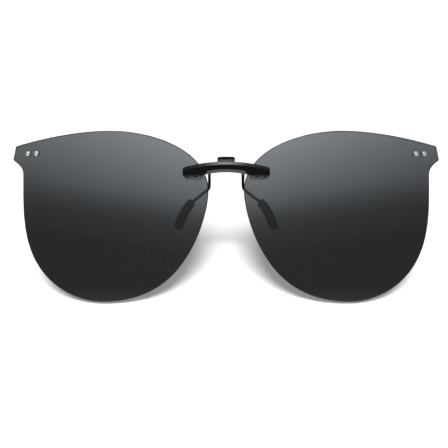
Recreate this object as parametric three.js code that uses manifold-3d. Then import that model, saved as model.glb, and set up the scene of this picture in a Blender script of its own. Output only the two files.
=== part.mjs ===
// Clip-on sunglasses: two rimless tinted lenses on a bridge bar, with a sprung pinch lever behind the bar.
// Millimetres. +Z is up, the lenses face -Y, and the wearer's right side is -X.
// The origin is the middle of the flat seat on the back of the bar, which rests on the spectacles' bridge.
import * as THREE from "three";
import { mergeVertices } from "three/addons/utils/BufferGeometryUtils.js";
import Module from "manifold-3d";

// Lenses: each is a slice of a spherical shell, and the sphere's apex sits toward the nose to give the wrap.
const LENS_RADIUS = 170;
const LENS_THICKNESS = 1.2;
const LENS_APEX = { x: 27.8, y: -3.1, z: -13.1 };
const LENS_REACH = 56;

// Bridge bar
const BAR_HALF = 14.8;
const BAR_FRONT = -3.5;
const BAR_TOP = 2.7;
const BAR_TOP_RADIUS = 54;
const BAR_BOTTOM = -0.95;
const BAR_BOTTOM_RADIUS = 33;
const BAR_BEVEL = 0.3;
const BAR_CORNER = 0.6;
const BLOCK_INNER = 7.3;
const BLOCK_FULL = 8.0;
const BLOCK_BOTTOM = [-2.2, -2.35];
const LENS_POCKET_X = 6.9;
const TOP_CHAMFER = 1.1;
const UNDER_CHAMFER = 0.95;
const SEAT_TOP = 0.4;
const SEAT_PROUD = 0.15;
const BOSS_RADIUS = 1.2;
const BOSS_FRONT = -3.2;

// Hinge
const PIVOT = { y: 1.65, z: 1.55 };
const PIN_RADIUS = 0.5;
const PIN_HEAD_RADIUS = 0.8;
const PIN_HEAD_LENGTH = 0.35;
const KNUCKLE_RADIUS = 0.95;
const LUG_INNER = 4.2;
const LUG_OUTER = 5.2;
const PIN_CLEARANCE = 0.05;

// Lever
const BARREL_HALF = 4.05;
const TAB_HALF = 3.05;
const TAB_TOP = 4.5;
const TAB_CORNER = 0.7;
const YOKE_HALF_HEIGHT = 0.55;
const YOKE_HALF = 6.8;
const YOKE_BACK = 6.25;
const YOKE_BAR_FRONT = 4.4;

// Torsion spring
const SPRING_WIRE_RADIUS = 0.225;
const SPRING_COIL_RADIUS = 0.85;
const SPRING_TURNS = 6;
const SPRING_PITCH = 0.49;
const SPRING_LEG_LENGTH = 2.45;
const SPRING_BAY_RADIUS = 1.2;
const SPRING_BAY_HALF = 2.1;

// Wire arms and rubber sleeves
const WIRE_RADIUS = 0.45;
const WIRE_X = 5.75;
const WIRE_Y = 5.3;
const WIRE_TOP = 1.8;
const WIRE_KNEE = -6.35;
const SLEEVE_START = { x: 11.35, z: -10.9, radius: 1.22 };
const SLEEVE_MIDDLE = { x: 14.1, z: -14.4, radius: 1.52 };
const SLEEVE_END = { x: 16.6, z: -20.5, radius: 1.4 };
const SLEEVE_GAP = 0.25;

// Hardware on the lenses: places as [x, z] on the wearer's left lens, and gaps between touching pieces
const RIVET_PLACES = [[64.7, 5.5], [67.6, 5.5]];
const SCREW_PLACES = [[10.5, -1.5], [13.1, -1.5]];
const SHANK_RADIUS = 0.42;
const HOLE_RADIUS = 0.5;
const GAP = 0.06;
const PLATE_CENTRE = [10.95, -1.78];
const PLATE_HALF_WIDTH = 3.35;
const PLATE_HALF_HEIGHT = 1.57;
const PLATE_CORNER = 1.2;
const PLATE_THICKNESS = 0.3;

const X_AXIS = new THREE.Vector3(1, 0, 0);
const Y_AXIS = new THREE.Vector3(0, 1, 0);
const Z_AXIS = new THREE.Vector3(0, 0, 1);
const SIDES = [["right", -1], ["left", 1]];

const wasm = await Module();
wasm.setup();

// ---- solids ----

function solid(geometry) {
  const bare = new THREE.BufferGeometry();
  bare.setAttribute("position", geometry.getAttribute("position").clone());
  bare.setIndex(geometry.index ? geometry.index.clone() : null);
  const welded = mergeVertices(bare, 1e-4);
  const index = welded.index.array;
  const kept = [];
  for (let i = 0; i < index.length; i += 3) {
    const [a, b, c] = [index[i], index[i + 1], index[i + 2]];
    if (a !== b && b !== c && c !== a) kept.push(a, b, c);
  }
  const vertProperties = new Float32Array(welded.getAttribute("position").array);
  const triVerts = new Uint32Array(kept);
  return new wasm.Manifold(new wasm.Mesh({ numProp: 3, vertProperties, triVerts }));
}

function geometryOf(manifold) {
  const mesh = manifold.getMesh();
  const geometry = new THREE.BufferGeometry();
  geometry.setAttribute("position", new THREE.BufferAttribute(mesh.vertProperties, 3));
  geometry.setIndex(new THREE.BufferAttribute(mesh.triVerts, 1));
  geometry.computeVertexNormals();
  return geometry;
}

const union = (first, ...rest) => rest.reduce((whole, piece) => whole.add(piece), first);
const cut = (first, ...rest) => rest.reduce((whole, piece) => whole.subtract(piece), first);

function box(x0, x1, y0, y1, z0, z1) {
  const geometry = new THREE.BoxGeometry(x1 - x0, y1 - y0, z1 - z0);
  return solid(geometry.translate((x0 + x1) / 2, (y0 + y1) / 2, (z0 + z1) / 2));
}

// A box on one side, given by its distances from the middle plane
function sideBox(side, near, far, y0, y1, z0, z1) {
  return side > 0 ? box(near, far, y0, y1, z0, z1) : box(-far, -near, y0, y1, z0, z1);
}

// A cylinder between two points
function rod(radius, start, end, sides = 20) {
  const axis = new THREE.Vector3().subVectors(end, start);
  const geometry = new THREE.CylinderGeometry(radius, radius, axis.length(), sides);
  geometry.applyQuaternion(new THREE.Quaternion().setFromUnitVectors(Y_AXIS, axis.clone().normalize()));
  const middle = new THREE.Vector3().addVectors(start, end).multiplyScalar(0.5);
  return solid(geometry.translate(middle.x, middle.y, middle.z));
}

// A cylinder on the hinge's axis
function hingeRod(radius, x0, x1, sides = 20) {
  const at = (x) => new THREE.Vector3(x, PIVOT.y, PIVOT.z);
  return rod(radius, at(x0), at(x1), sides);
}

// An outline drawn in X and Z, extruded from y0 back to y1
function extrudeAlongY(outline, y0, y1, curveSegments, bevel = 0) {
  const geometry = new THREE.ExtrudeGeometry(outline, {
    depth: y1 - y0 - 2 * bevel,
    curveSegments,
    bevelEnabled: bevel > 0,
    bevelSize: bevel,
    bevelOffset: -bevel,
    bevelThickness: bevel,
    bevelSegments: 1,
  });
  return solid(geometry.rotateX(Math.PI / 2).translate(0, y1 - bevel, 0));
}

// An outline drawn in Y and Z, extruded along X
function extrudeAlongX(outline, x0, x1, curveSegments) {
  const geometry = new THREE.ExtrudeGeometry(outline, { depth: x1 - x0, curveSegments, bevelEnabled: false });
  geometry.applyMatrix4(new THREE.Matrix4().makeBasis(Y_AXIS, Z_AXIS, X_AXIS));
  return solid(geometry.translate(x0, 0, 0));
}

function extrudeAlongZ(outline, z0, z1, curveSegments) {
  const geometry = new THREE.ExtrudeGeometry(outline, { depth: z1 - z0, curveSegments, bevelEnabled: false });
  return solid(geometry.translate(0, 0, z0));
}

// A round tube along a curve. An arc is drawn with two points for each curve segment.
function tube(path, radius, steps, sides) {
  const section = new THREE.Shape().absarc(0, 0, radius, 0, 2 * Math.PI);
  return new THREE.ExtrudeGeometry(section, { steps, curveSegments: sides / 2, extrudePath: path });
}

const lathe = (profile, sides = 14) =>
  solid(new THREE.LatheGeometry(profile.map(([r, y]) => new THREE.Vector2(r, y)), sides));

// ---- lens surface ----

const lensCentre = (side) =>
  new THREE.Vector3(side * LENS_APEX.x, LENS_APEX.y + LENS_RADIUS, LENS_APEX.z);

// The surface's Y at a place, for the front (depth 0) or a shell deeper in the lens
function lensY(x, z, depth) {
  const radius = LENS_RADIUS - depth;
  const across = (x - LENS_APEX.x) ** 2 + (z - LENS_APEX.z) ** 2;
  return LENS_APEX.y + LENS_RADIUS - Math.sqrt(radius ** 2 - across);
}

// A group whose origin is on the lens's front surface, and whose +Y goes straight into the lens
function onLens([x, z], side) {
  const group = new THREE.Group();
  group.position.set(side * x, lensY(x, z, 0), z);
  const inward = lensCentre(side).sub(group.position).normalize();
  group.quaternion.setFromUnitVectors(Y_AXIS, inward);
  group.updateMatrix();
  return group;
}

// A hole drilled straight into the lens's front surface, between two depths
function drill(place, side, from, to) {
  const { matrix } = onLens(place, side);
  const at = (y) => new THREE.Vector3(0, y, 0).applyMatrix4(matrix);
  return rod(HOLE_RADIUS, at(from), at(to), 14);
}

// The space behind a lens's front surface, down to a depth and out past the lens's outline
function lensShell(side, frontGap, depth) {
  const rings = 12;
  const profile = [];
  const arc = (radius, i) => {
    const r = (LENS_REACH * i) / rings;
    return new THREE.Vector2(r, LENS_RADIUS - Math.sqrt(radius ** 2 - r ** 2));
  };
  for (let i = 0; i <= rings; i++) profile.push(arc(LENS_RADIUS + frontGap, i));
  for (let i = rings; i >= 0; i--) profile.push(arc(LENS_RADIUS - depth, i));
  const geometry = new THREE.LatheGeometry(profile, 48);
  return solid(geometry.translate(side * LENS_APEX.x, LENS_APEX.y, LENS_APEX.z));
}

function lensOutline(side) {
  const shape = new THREE.Shape();
  const curve = (...p) => shape.bezierCurveTo(side * p[0], p[1], side * p[2], p[3], side * p[4], p[5]);
  const round = (cx, cz, x, z) => shape.quadraticCurveTo(side * cx, cz, side * x, z);
  const line = (x, z) => shape.lineTo(side * x, z);
  shape.moveTo(side * 39.6, 13.2);
  curve(49.3, 13.2, 61.2, 11.1, 71.4, 8.2);
  round(71.85, 8.1, 71.9, 7.65);
  line(72.65, 3.75);
  round(72.75, 3.3, 72.3, 3.0);
  curve(69.2, 0.8, 69.2, -0.6, 69.2, -2.4);
  line(69.2, -5.0);
  curve(69.2, -15.6, 69.1, -26.2, 62.6, -34.7);
  curve(57.7, -41.1, 49.8, -45.0, 42.0, -45.0);
  curve(32.6, -45.0, 24.1, -42.1, 17.8, -35.5);
  curve(9.6, -26.8, 6.0, -13.5, 6.0, -7.3);
  curve(6.0, 6.3, 24.2, 13.2, 39.6, 13.2);
  return shape;
}

function lens(side) {
  const blank = extrudeAlongY(lensOutline(side), -6, 10, 9);
  const holes = [...RIVET_PLACES, ...SCREW_PLACES].map((place) => drill(place, side, -1, LENS_THICKNESS + 1));
  return cut(lensShell(side, 0, LENS_THICKNESS).intersect(blank), ...holes);
}

// ---- bridge bar ----

// The height of a shallow arc at x, from its crown and the radius there
const arcZ = (crown, radius, x) => crown - x ** 2 / (2 * radius);

function barOutline() {
  const shape = new THREE.Shape();
  const w = BAR_HALF;
  const c = BAR_CORNER;
  const top = arcZ(BAR_TOP, BAR_TOP_RADIUS, w - c);
  const [bottomInner, bottom] = BLOCK_BOTTOM;
  const inner = arcZ(BAR_BOTTOM, BAR_BOTTOM_RADIUS, BLOCK_INNER);
  shape.moveTo(-w, top - c);
  shape.quadraticCurveTo(-w, top, -w + c, top);
  shape.quadraticCurveTo(0, 2 * BAR_TOP - top, w - c, top);
  shape.quadraticCurveTo(w, top, w, top - c);
  shape.lineTo(w, bottom + c);
  shape.quadraticCurveTo(w, bottom, w - c, bottom);
  shape.lineTo(BLOCK_FULL, bottomInner);
  shape.lineTo(BLOCK_INNER, inner);
  shape.quadraticCurveTo(0, 2 * BAR_BOTTOM - inner, -BLOCK_INNER, inner);
  shape.lineTo(-BLOCK_FULL, bottomInner);
  shape.lineTo(-w + c, bottom);
  shape.quadraticCurveTo(-w, bottom, -w, bottom + c);
  return shape;
}

// What a 45 degree chamfer takes off the bar's front edge, `size` wide on the front face: a ring about the
// edge arc's centre with a triangular section. sign is 1 for the crown and -1 for the underside.
function chamferWedge(crown, radius, size, sign, half) {
  const past = 0.5;
  const [near, far] = [radius - sign * size, radius + sign * past];
  const [front, back] = [BAR_FRONT - past, BAR_FRONT + size + past];
  const start = new THREE.Vector2(near - sign * past, front);
  const profile = [start, new THREE.Vector2(far, back), new THREE.Vector2(far, front), start];
  if (sign > 0) profile.reverse();
  const ring = new THREE.LatheGeometry(profile, 150).translate(0, 0, crown - radius);
  return solid(ring).intersect(box(-half, half, BAR_FRONT - 2, BAR_FRONT + 2, -5, 5));
}

function bridgeBar() {
  const blank = extrudeAlongY(barOutline(), BAR_FRONT, 1, 9, BAR_BEVEL);
  const crown = chamferWedge(BAR_TOP, BAR_TOP_RADIUS, TOP_CHAMFER, 1, BAR_HALF + 1);
  const under = chamferWedge(BAR_BOTTOM, BAR_BOTTOM_RADIUS, UNDER_CHAMFER, -1, LENS_POCKET_X);
  const bar = cut(blank, crown, under);
  const behindSeat = box(-20, 20, 0, 2, -5, 5);
  const leverRecess = box(-20, 20, -SEAT_PROUD, 2, SEAT_TOP, 5);
  const additions = [];
  const cuts = [hingeRod(PIN_RADIUS + GAP, -LUG_OUTER - 1, LUG_OUTER + 1)];
  for (const [, side] of SIDES) {
    const pocket = sideBox(side, LENS_POCKET_X, 20, -6, 6, -6, 6);
    const space = lensShell(side, GAP, 6).intersect(pocket);
    for (const [x, z] of SCREW_PLACES) {
      const at = (y) => new THREE.Vector3(side * x, y, z);
      additions.push(rod(BOSS_RADIUS, at(BOSS_FRONT), at(0), 24));
      cuts.push(drill([x, z], side, -1.05, 1));
    }
    cuts.push(space);
  }
  const body = cut(union(bar, ...additions), behindSeat, leverRecess);
  const lugs = SIDES.map(([, side]) => {
    const knuckle = hingeRod(KNUCKLE_RADIUS, side * LUG_INNER, side * LUG_OUTER, 28);
    const [low, high] = [PIVOT.z - KNUCKLE_RADIUS, PIVOT.z + KNUCKLE_RADIUS];
    return knuckle.add(sideBox(side, LUG_INNER, LUG_OUTER, -1, PIVOT.y, low, high));
  });
  const springHole = rod(
    SPRING_WIRE_RADIUS + PIN_CLEARANCE,
    springPoint(0, -SPRING_LEG_LENGTH - 0.1, -SPRING_COIL_RADIUS),
    springPoint(0, 0, -SPRING_COIL_RADIUS),
    12,
  );
  return cut(union(body, ...lugs), ...cuts, springHole);
}

// ---- lever ----

// The tab and root, from the side: it rises from a rounded heel that meets the bar when fully open
function leverProfile() {
  const shape = new THREE.Shape();
  const at = (y, z) => [PIVOT.y + y, PIVOT.z + z];
  shape.moveTo(...at(-0.9, 0.1));
  shape.quadraticCurveTo(...at(-1.3, 1.3), ...at(-0.9, 1.56));
  shape.quadraticCurveTo(...at(-0.25, 1.6), PIVOT.y, TAB_TOP);
  shape.lineTo(PIVOT.y + 0.8, TAB_TOP);
  shape.quadraticCurveTo(...at(1.3, 1.1), ...at(2.3, YOKE_HALF_HEIGHT));
  shape.lineTo(...at(2.3, -YOKE_HALF_HEIGHT));
  shape.lineTo(...at(0.4, -0.85));
  return shape;
}

// The tab from the front, with a slightly crowned top and round corners
function tabOutline() {
  const shape = new THREE.Shape();
  const shoulder = TAB_TOP - 0.15;
  const inner = TAB_HALF - TAB_CORNER;
  shape.moveTo(-TAB_HALF, -1);
  shape.lineTo(-TAB_HALF, shoulder - TAB_CORNER);
  shape.quadraticCurveTo(-TAB_HALF, shoulder, -inner, shoulder);
  shape.quadraticCurveTo(0, TAB_TOP + 0.1, inner, shoulder);
  shape.quadraticCurveTo(TAB_HALF, shoulder, TAB_HALF, shoulder - TAB_CORNER);
  shape.lineTo(TAB_HALF, -1);
  return shape;
}

// The yoke from above: it reaches back past the lugs and widens into the cross-bar that holds the wires
function yokeOutline() {
  const shape = new THREE.Shape();
  const neck = BARREL_HALF - 0.3;
  const r = (YOKE_BACK - YOKE_BAR_FRONT) / 2;
  const middle = (YOKE_BACK + YOKE_BAR_FRONT) / 2;
  shape.moveTo(-neck, PIVOT.y + 0.2);
  shape.lineTo(neck, PIVOT.y + 0.2);
  shape.lineTo(neck, YOKE_BAR_FRONT - 0.8);
  shape.quadraticCurveTo(neck, YOKE_BAR_FRONT, neck + 0.8, YOKE_BAR_FRONT);
  shape.absarc(YOKE_HALF - r, middle, r, -Math.PI / 2, Math.PI / 2, false);
  shape.absarc(-YOKE_HALF + r, middle, r, Math.PI / 2, 1.5 * Math.PI, false);
  shape.lineTo(-neck - 0.8, YOKE_BAR_FRONT);
  shape.quadraticCurveTo(-neck, YOKE_BAR_FRONT, -neck, YOKE_BAR_FRONT - 0.8);
  return shape;
}

function clampLever() {
  const barrels = hingeRod(KNUCKLE_RADIUS, -BARREL_HALF, BARREL_HALF, 28);
  const tab = extrudeAlongX(leverProfile(), -BARREL_HALF, BARREL_HALF, 8)
    .intersect(extrudeAlongY(tabOutline(), -2, 6, 6));
  const yoke = extrudeAlongZ(yokeOutline(), PIVOT.z - YOKE_HALF_HEIGHT, PIVOT.z + YOKE_HALF_HEIGHT, 5);
  const bay = hingeRod(SPRING_BAY_RADIUS, -SPRING_BAY_HALF, SPRING_BAY_HALF, 28);
  const legStart = springLegBack(0.6);
  const legEnd = springLegBack(SPRING_LEG_LENGTH + 0.15);
  const legHole = rod(SPRING_WIRE_RADIUS + PIN_CLEARANCE, legStart, legEnd, 12);
  const sockets = SIDES.map(([, side]) => {
    const at = (z) => new THREE.Vector3(side * WIRE_X, WIRE_Y, z);
    return rod(WIRE_RADIUS + PIN_CLEARANCE, at(0), at(WIRE_TOP + PIN_CLEARANCE), 12);
  });
  const pinHole = hingeRod(PIN_RADIUS + PIN_CLEARANCE, -BARREL_HALF - 1, BARREL_HALF + 1);
  return cut(union(barrels, tab, yoke), pinHole, bay, legHole, ...sockets);
}

// ---- hinge pin and spring ----

function hingePin() {
  const shank = hingeRod(PIN_RADIUS, -LUG_OUTER - GAP - 0.1, LUG_OUTER + GAP + 0.1);
  const heads = SIDES.map(([, side]) => {
    const start = LUG_OUTER + GAP;
    return hingeRod(PIN_HEAD_RADIUS, side * start, side * (start + PIN_HEAD_LENGTH));
  });
  return union(shank, ...heads);
}

// A point in the spring's own frame: turns along the coil, then Y and Z from the hinge's axis
function springPoint(turn, y, z) {
  const x = (turn - SPRING_TURNS / 2) * SPRING_PITCH;
  return new THREE.Vector3(x, PIVOT.y + y, PIVOT.z + z);
}

const SPRING_LAST_ANGLE = THREE.MathUtils.degToRad(15);

// A point on the rear leg, at a distance from where it leaves the coil
function springLegBack(distance) {
  const a = SPRING_LAST_ANGLE;
  const y = SPRING_COIL_RADIUS * Math.sin(a) + distance * Math.cos(a);
  const z = -SPRING_COIL_RADIUS * Math.cos(a) + distance * Math.sin(a);
  return springPoint(SPRING_TURNS, y, z);
}

class SpringCurve extends THREE.Curve {
  constructor() {
    super();
    this.coilAngle = SPRING_TURNS * 2 * Math.PI + SPRING_LAST_ANGLE;
    this.coilLength = this.coilAngle * SPRING_COIL_RADIUS;
    this.length = this.coilLength + 2 * SPRING_LEG_LENGTH;
  }

  getPoint(t) {
    const s = t * this.length - SPRING_LEG_LENGTH;
    if (s < 0) return springPoint(0, s, -SPRING_COIL_RADIUS);
    if (s > this.coilLength) return springLegBack(s - this.coilLength);
    const a = s / SPRING_COIL_RADIUS;
    const turn = (SPRING_TURNS * a) / this.coilAngle;
    return springPoint(turn, SPRING_COIL_RADIUS * Math.sin(a), -SPRING_COIL_RADIUS * Math.cos(a));
  }
}

const torsionSpring = () => solid(tube(new SpringCurve(), SPRING_WIRE_RADIUS, 90, 6));

// ---- wire arms and sleeves ----

// The middle line of a sleeve: it bends downward, close behind the lens
function sleeveCurve(side) {
  const behind = ({ x, z, radius }) => lensY(x, z, LENS_THICKNESS) + radius + SLEEVE_GAP;
  const at = (place) => new THREE.Vector3(side * place.x, behind(place), place.z);
  const [start, middle, end] = [SLEEVE_START, SLEEVE_MIDDLE, SLEEVE_END].map(at);
  const control = middle.multiplyScalar(2).addScaledVector(start, -0.5).addScaledVector(end, -0.5);
  return new THREE.QuadraticBezierCurve3(start, control, end);
}

// The first part of a quadratic curve, up to t
function firstPart(curve, t) {
  const control = curve.v0.clone().lerp(curve.v1, t);
  return new THREE.QuadraticBezierCurve3(curve.v0, control, curve.getPoint(t));
}

// A path through straight stretches joined by bends that start and end a given distance from each corner
function bentPath(points, bend) {
  const path = new THREE.CurvePath();
  let last = points[0];
  for (let i = 1; i < points.length - 1; i++) {
    const corner = points[i];
    const before = corner.clone().add(points[i - 1].clone().sub(corner).setLength(bend));
    const after = corner.clone().add(points[i + 1].clone().sub(corner).setLength(bend));
    path.add(new THREE.LineCurve3(last, before));
    path.add(new THREE.QuadraticBezierCurve3(before, corner, after));
    last = after;
  }
  path.add(new THREE.LineCurve3(last, points[points.length - 1]));
  return path;
}

function wirePath(side, inSleeve) {
  const sleeve = sleeveCurve(side);
  const entry = sleeve.v0.clone().addScaledVector(sleeve.getTangent(0), -1.2);
  const knee = new THREE.Vector3(side * WIRE_X, WIRE_Y, WIRE_KNEE);
  const top = new THREE.Vector3(side * WIRE_X, WIRE_Y, WIRE_TOP);
  const path = bentPath([top, knee, entry, sleeve.v0], 1.1);
  path.add(firstPart(sleeve, inSleeve));
  return path;
}

const wireArm = (side) => solid(tube(wirePath(side, 0.9), WIRE_RADIUS, 38, 8));

// A spindle with round ends, bent along the sleeve's middle line and bored for the wire
function rubberSleeve(side) {
  const curve = sleeveCurve(side);
  const length = curve.getLength();
  const mid = SLEEVE_MIDDLE.radius;
  const profile = [[0, 0], [0.95, 0], [1.14, 0.12], [SLEEVE_START.radius, 0.4]];
  profile.push([1.38, 0.22 * length], [mid, 0.5 * length], [1.48, 0.75 * length]);
  const dome = SLEEVE_END.radius;
  for (let i = 0; i <= 4; i++) {
    const a = (i * Math.PI) / 8;
    profile.push([dome * Math.cos(a), length - dome + dome * Math.sin(a)]);
  }
  const geometry = new THREE.LatheGeometry(profile.map(([r, y]) => new THREE.Vector2(r, y)), 12);
  const position = geometry.getAttribute("position");
  for (let i = 0; i < position.count; i++) {
    const u = THREE.MathUtils.clamp(position.getY(i) / length, 0, 1);
    const tangent = curve.getTangentAt(u);
    const back = new THREE.Vector3().crossVectors(tangent, X_AXIS).normalize();
    const across = new THREE.Vector3().crossVectors(tangent, back);
    const point = curve.getPointAt(u);
    point.addScaledVector(across, position.getX(i)).addScaledVector(back, position.getZ(i));
    position.setXYZ(i, point.x, point.y, point.z);
  }
  const bore = solid(tube(wirePath(side, 0.92), WIRE_RADIUS + PIN_CLEARANCE, 38, 8));
  return cut(solid(geometry), bore);
}

// ---- hardware, drawn with +Y going into the lens and 0 at its front surface ----

// A silver stud with a dimpled domed head in front of the lens
function templeRivet() {
  const head = [[0, -0.3], [0.2, -0.32], [0.36, -0.46], [0.56, -0.43], [0.77, -0.26], [0.85, -GAP]];
  const shank = [[SHANK_RADIUS, -GAP], [SHANK_RADIUS, LENS_THICKNESS + 0.42], [0, LENS_THICKNESS + 0.42]];
  return lathe([...head, ...shank]);
}

// The cap pressed on a rivet's end behind the lens
function rivetCap() {
  const face = LENS_THICKNESS + GAP;
  const bottom = LENS_THICKNESS + 0.46;
  const bore = [[0, bottom], [HOLE_RADIUS, bottom], [HOLE_RADIUS, face]];
  return lathe([...bore, [0.85, face], [0.85, face + 0.3], [0.66, face + 0.52], [0, face + 0.6]]);
}

// A slotted screw, from behind the lens into a boss of the bar
function lensScrew() {
  const seat = LENS_THICKNESS + 2 * GAP + PLATE_THICKNESS;
  const shank = [[0, -0.95], [0.3, -0.95], [SHANK_RADIUS, -0.8], [SHANK_RADIUS, seat]];
  const head = [[1.0, seat], [1.0, seat + 0.32], [0.72, seat + 0.55], [0, seat + 0.62]];
  return cut(lathe([...shank, ...head], 16), box(-1.2, 1.2, seat + 0.3, seat + 1, -0.14, 0.14));
}

// A flat plate behind a lens, under the heads of its two screws
function backingPlate(side) {
  const shape = new THREE.Shape();
  const [w, h, c] = [PLATE_HALF_WIDTH, PLATE_HALF_HEIGHT, PLATE_CORNER];
  shape.absarc(w - c, h - c, c, 0, Math.PI / 2);
  shape.absarc(c - w, h - c, c, Math.PI / 2, Math.PI);
  shape.absarc(c - w, c - h, c, Math.PI, 1.5 * Math.PI);
  shape.absarc(w - c, c - h, c, 1.5 * Math.PI, 2 * Math.PI);
  const face = LENS_THICKNESS + GAP;
  const plate = extrudeAlongY(shape, face, face + PLATE_THICKNESS, 4);
  const holes = SCREW_PLACES.map((place) => drill(place, side, LENS_THICKNESS, LENS_THICKNESS + 1));
  return cut(plate.transform(onLens(PLATE_CENTRE, side).matrix.elements), ...holes);
}

// ---- materials ----

const material = (color, roughness, metalness, extra = {}) =>
  new THREE.MeshStandardMaterial({ color, roughness, metalness, ...extra });

const lensTint = () => material(0x2b2e31, 0.08, 0, { transparent: true, opacity: 0.9 });
const blackPlastic = () => material(0x111213, 0.4, 0);
const blackWire = () => material(0x161616, 0.35, 0.6);
const blackRubber = () => material(0x242626, 0.8, 0);
const silver = () => material(0xc8ccd0, 0.25, 1);
const springSteel = () => material(0x9a9c9e, 0.35, 1);
const smokeNylon = () => material(0x6a6c6e, 0.5, 0);

// ---- assembly ----

const clip = new THREE.Group();

function place(name, manifold, look, parent = clip) {
  const mesh = new THREE.Mesh(geometryOf(manifold), look);
  mesh.name = name;
  parent.add(mesh);
}

// One piece of hardware at each place on each lens, numbered from the nose outward
function placeOnLenses(name, make, look, places) {
  for (const [word, side] of SIDES) {
    places.forEach((spot, i) => {
      const seat = onLens(spot, side);
      clip.add(seat);
      place(`${name}_${word}_${i + 1}`, make(), look(), seat);
    });
  }
}

place("bridge_bar", bridgeBar(), blackPlastic());
place("clamp_lever", clampLever(), blackPlastic());
place("hinge_pin", hingePin(), springSteel());
place("torsion_spring", torsionSpring(), springSteel());
for (const [word, side] of SIDES) {
  place(`lens_${word}`, lens(side), lensTint());
  place(`wire_arm_${word}`, wireArm(side), blackWire());
  place(`rubber_sleeve_${word}`, rubberSleeve(side), blackRubber());
  place(`backing_plate_${word}`, backingPlate(side), smokeNylon());
}
placeOnLenses("temple_rivet", templeRivet, silver, RIVET_PLACES);
placeOnLenses("rivet_cap", rivetCap, silver, RIVET_PLACES);
placeOnLenses("lens_screw", lensScrew, springSteel, SCREW_PLACES);

export default clip;
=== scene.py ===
"""Clip-on sunglasses: the finished look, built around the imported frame.

Shapes are worked out in millimetres and turned into metres when a piece is made. +Z is up, the lenses
face -Y, the wearer's right side is -X, and the origin is the middle of the seat on the bar's back.
"""

import bisect
import math

import bmesh
import bpy
from mathutils import Matrix, Vector
from mathutils.geometry import delaunay_2d_cdt


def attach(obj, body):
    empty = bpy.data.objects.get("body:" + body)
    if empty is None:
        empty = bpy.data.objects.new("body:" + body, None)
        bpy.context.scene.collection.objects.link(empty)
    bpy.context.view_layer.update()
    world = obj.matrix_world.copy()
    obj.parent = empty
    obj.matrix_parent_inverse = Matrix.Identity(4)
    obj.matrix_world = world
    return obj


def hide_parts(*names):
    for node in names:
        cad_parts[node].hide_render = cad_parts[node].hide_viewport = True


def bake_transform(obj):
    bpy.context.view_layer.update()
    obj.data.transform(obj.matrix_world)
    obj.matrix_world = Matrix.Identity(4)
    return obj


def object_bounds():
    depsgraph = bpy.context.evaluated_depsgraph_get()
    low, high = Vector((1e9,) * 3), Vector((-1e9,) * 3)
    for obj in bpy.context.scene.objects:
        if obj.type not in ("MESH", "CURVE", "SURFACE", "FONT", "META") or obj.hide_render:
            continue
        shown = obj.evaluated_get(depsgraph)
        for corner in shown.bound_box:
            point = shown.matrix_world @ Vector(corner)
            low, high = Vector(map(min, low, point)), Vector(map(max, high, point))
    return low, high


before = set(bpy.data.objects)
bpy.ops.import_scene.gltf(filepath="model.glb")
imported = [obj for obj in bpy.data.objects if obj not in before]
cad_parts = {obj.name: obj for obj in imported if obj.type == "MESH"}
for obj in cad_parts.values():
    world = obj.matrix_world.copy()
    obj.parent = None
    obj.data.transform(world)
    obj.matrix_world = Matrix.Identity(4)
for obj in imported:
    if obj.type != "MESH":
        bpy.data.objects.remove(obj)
cad_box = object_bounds()
scene = bpy.context.scene

MM = 0.001
SIDES = (("right", -1), ("left", 1))
SHARP_ANGLE = math.radians(32)

# Lenses: slices of a spherical shell whose apex sits toward the nose
LENS_RADIUS = 170
LENS_THICKNESS = 1.2
LENS_APEX = Vector((27.8, -3.1, -13.1))
LENS_EDGE = 0.3
LENS_SPACING = 0.45
# The face is meshed with near-equilateral triangles, which stay clear of the edge and the holes
LENS_GRID = 2.4
LENS_ROWS = 0.866 * LENS_GRID
LENS_GRID_MARGIN = 0.8
HOLE_MARGIN = 1.5

# Bridge bar
BAR_HALF = 14.8
BAR_FRONT = -3.5
BAR_TOP = 2.7
BAR_TOP_RADIUS = 54
BAR_BOTTOM = -0.95
BAR_BOTTOM_RADIUS = 33
BAR_CORNER = 0.6
BAR_NOSE = 0.3
BAR_BACK = 1.0
BLOCK_INNER = 7.3
BLOCK_FULL = 8.0
# Heights of the underside at a block's inner and outer end
BLOCK_BOTTOM = (-2.2, -2.35)
LENS_POCKET_X = 6.9
CHAMFER_FADE = 0.7
TOP_CHAMFER = 1.15
UNDER_CHAMFER = 1.0
BLOCK_CHAMFER = 0.16
BAR_ROUNDING = 0.12
SEAT_TOP = 0.4
SEAT_PROUD = 0.15
BOSS_RADIUS = 1.2
BOSS_FRONT = -3.2
BOSS_BORE_DEPTH = 1.05

# Hinge
PIVOT_Y = 1.65
PIVOT_Z = 1.55
PIN_RADIUS = 0.5
PIN_HEAD_RADIUS = 0.8
PIN_HEAD_LENGTH = 0.35
KNUCKLE_RADIUS = 0.95
LUG_INNER = 4.2
LUG_OUTER = 5.2
CLEARANCE = 0.05

# Lever
BARREL_HALF = 4.05
TAB_HALF = 3.05
TAB_TOP = 4.5
TAB_FOOT = 1.56
TAB_CORNER = 0.7
TAB_EDGE = 0.16
TAB_CROWN = 0.12
TAB_TAPER = 0.04
TAB_TAPER_FOOT = 1.2
YOKE_HALF_HEIGHT = 0.55
YOKE_HALF = 6.8
YOKE_BACK = 6.25
YOKE_BAR_FRONT = 4.4
YOKE_FILLET = 0.8

# Torsion spring
SPRING_WIRE = 0.225
SPRING_COIL = 0.85
SPRING_TURNS = 6
SPRING_PITCH = 0.49
SPRING_LEG = 2.45
SPRING_LAST_ANGLE = math.radians(15)
SPRING_BAY_RADIUS = 1.2
SPRING_BAY_HALF = 2.1

# Wire arms and rubber sleeves. The wire and the sleeves' tips are drawn a little thicker than the CAD's.
WIRE_RADIUS = 0.51
WIRE_X = 5.75
WIRE_Y = 5.3
WIRE_TOP = 1.8
WIRE_KNEE = -6.35
WIRE_BEND = 1.1
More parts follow.
